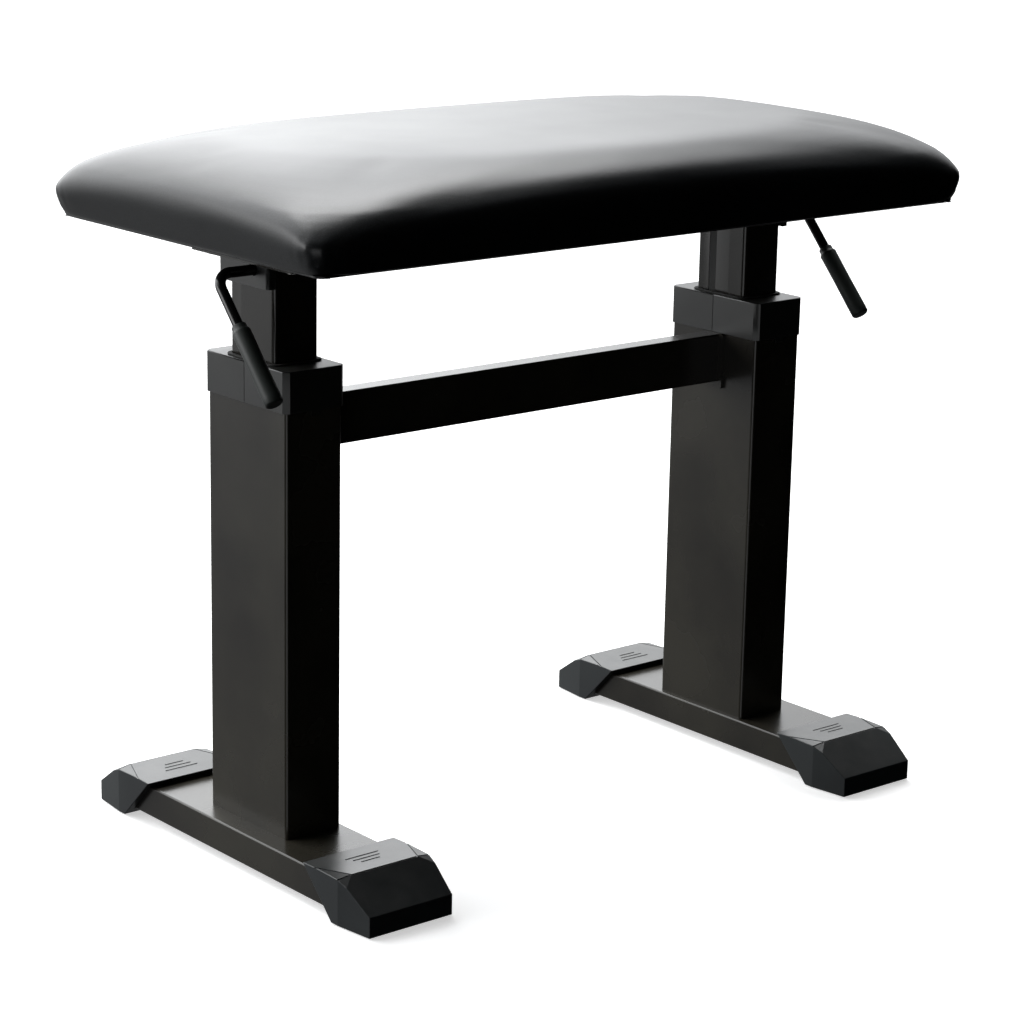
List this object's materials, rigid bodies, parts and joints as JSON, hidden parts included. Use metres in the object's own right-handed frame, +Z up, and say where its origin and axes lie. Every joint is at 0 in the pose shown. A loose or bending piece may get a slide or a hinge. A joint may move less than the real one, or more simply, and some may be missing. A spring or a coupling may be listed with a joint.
{
  "type": "piano bench",
  "caption": "Height-adjustable piano bench: padded black seat on telescoping columns with side release levers, a crossbar and capped floor bars.",
  "frame": {"origin": "on the floor, midway between the two legs, under the centre of the seat", "axes": "+Z up; X along the seat's length, +X towards the right leg seen from the front; -Y is the front, where the release levers' grips point"},
  "size_m": [0.642, 0.358, 0.546],
  "materials": {
    "column_paint": "satin black-brown powder coat",
    "inner_column_paint": "satin black powder coat",
    "collar_plastic": "fine-textured moulded black plastic",
    "cap_plastic": "moulded charcoal plastic, fine texture",
    "pad_rubber": "matt black rubber",
    "zinc_steel": "zinc-plated steel",
    "spring_black": "black painted steel tube",
    "chromed_rod": "polished hard chrome",
    "guide_nylon": "natural nylon",
    "lever_paint": "gloss black enamel",
    "grip_plastic": "matt black moulded grip",
    "plywood": "raw birch plywood",
    "dust_cloth": "thin black non-woven cloth",
    "leatherette": "smooth black leatherette, satin sheen"
  },
  "bodies": {
    "base": {"left_base_bar": "column_paint", "right_base_bar": "column_paint", "left_front_end_cap": "cap_plastic", "right_front_end_cap": "cap_plastic", "left_rear_end_cap": "cap_plastic", "right_rear_end_cap": "cap_plastic", "left_front_foot_pad": "pad_rubber", "right_front_foot_pad": "pad_rubber", "left_rear_foot_pad": "pad_rubber", "right_rear_foot_pad": "pad_rubber", "end_cap_screws": "zinc_steel", "left_outer_column": "column_paint", "right_outer_column": "column_paint", "left_column_base_plate": "zinc_steel", "right_column_base_plate": "zinc_steel", "column_bolts": "zinc_steel", "left_collar": "collar_plastic", "right_collar": "collar_plastic", "left_upper_guide": "guide_nylon", "right_upper_guide": "guide_nylon", "crossbar": "column_paint", "left_crossbar_flange": "column_paint", "right_crossbar_flange": "column_paint", "crossbar_screws": "zinc_steel", "left_piston_rod": "chromed_rod", "right_piston_rod": "chromed_rod"},
    "seat": {"left_inner_column": "inner_column_paint", "right_inner_column": "inner_column_paint", "left_lower_guide": "guide_nylon", "right_lower_guide": "guide_nylon", "left_lever_housing": "collar_plastic", "right_lever_housing": "collar_plastic", "left_lever_bush": "guide_nylon", "right_lever_bush": "guide_nylon", "left_seat_plate": "column_paint", "right_seat_plate": "column_paint", "left_gas_cylinder": "spring_black", "right_gas_cylinder": "spring_black", "left_spring_mount": "zinc_steel", "right_spring_mount": "zinc_steel", "left_spring_nut": "zinc_steel", "right_spring_nut": "zinc_steel", "front_seat_rail": "column_paint", "rear_seat_rail": "column_paint", "seat_dust_cover": "dust_cloth", "seat_board": "plywood", "seat_cushion": "leatherette", "seat_screws": "zinc_steel"},
    "left_lever": {"left_lever_rod": "lever_paint", "left_lever_grip": "grip_plastic", "left_release_finger": "zinc_steel"},
    "left_release_pin": {"left_release_pin": "chromed_rod"},
    "right_lever": {"right_lever_rod": "lever_paint", "right_lever_grip": "grip_plastic", "right_release_finger": "zinc_steel"},
    "right_release_pin": {"right_release_pin": "chromed_rod"}
  },
  "joints": [
    {"name": "seat_lift", "type": "slide", "parent": "base", "child": "seat", "axis": [0, 0, 1], "range_m": [-0.05, 0.07]},
    {"name": "left_lever_pull", "type": "hinge", "parent": "seat", "child": "left_lever", "pos_m": [-0.235, -0.012, 0.4575], "axis": [-1, 0, 0], "range_deg": [0, 18], "stiffness_Nm_per_rad": 1.2, "springref_deg": -8.59},
    {"name": "left_pin_press", "type": "slide", "parent": "seat", "child": "left_release_pin", "axis": [0, 0, -1], "range_m": [0, 0.004]},
    {"name": "right_lever_pull", "type": "hinge", "parent": "seat", "child": "right_lever", "pos_m": [0.235, -0.012, 0.4575], "axis": [-1, 0, 0], "range_deg": [0, 18], "stiffness_Nm_per_rad": 1.2, "springref_deg": -8.59},
    {"name": "right_pin_press", "type": "slide", "parent": "seat", "child": "right_release_pin", "axis": [0, 0, -1], "range_m": [0, 0.004]}
  ],
  "couplings": [
    {"joint": "left_pin_press", "follows": "left_lever_pull", "m_per_rad": 0.012},
    {"joint": "right_pin_press", "follows": "right_lever_pull", "m_per_rad": 0.012}
  ]
}
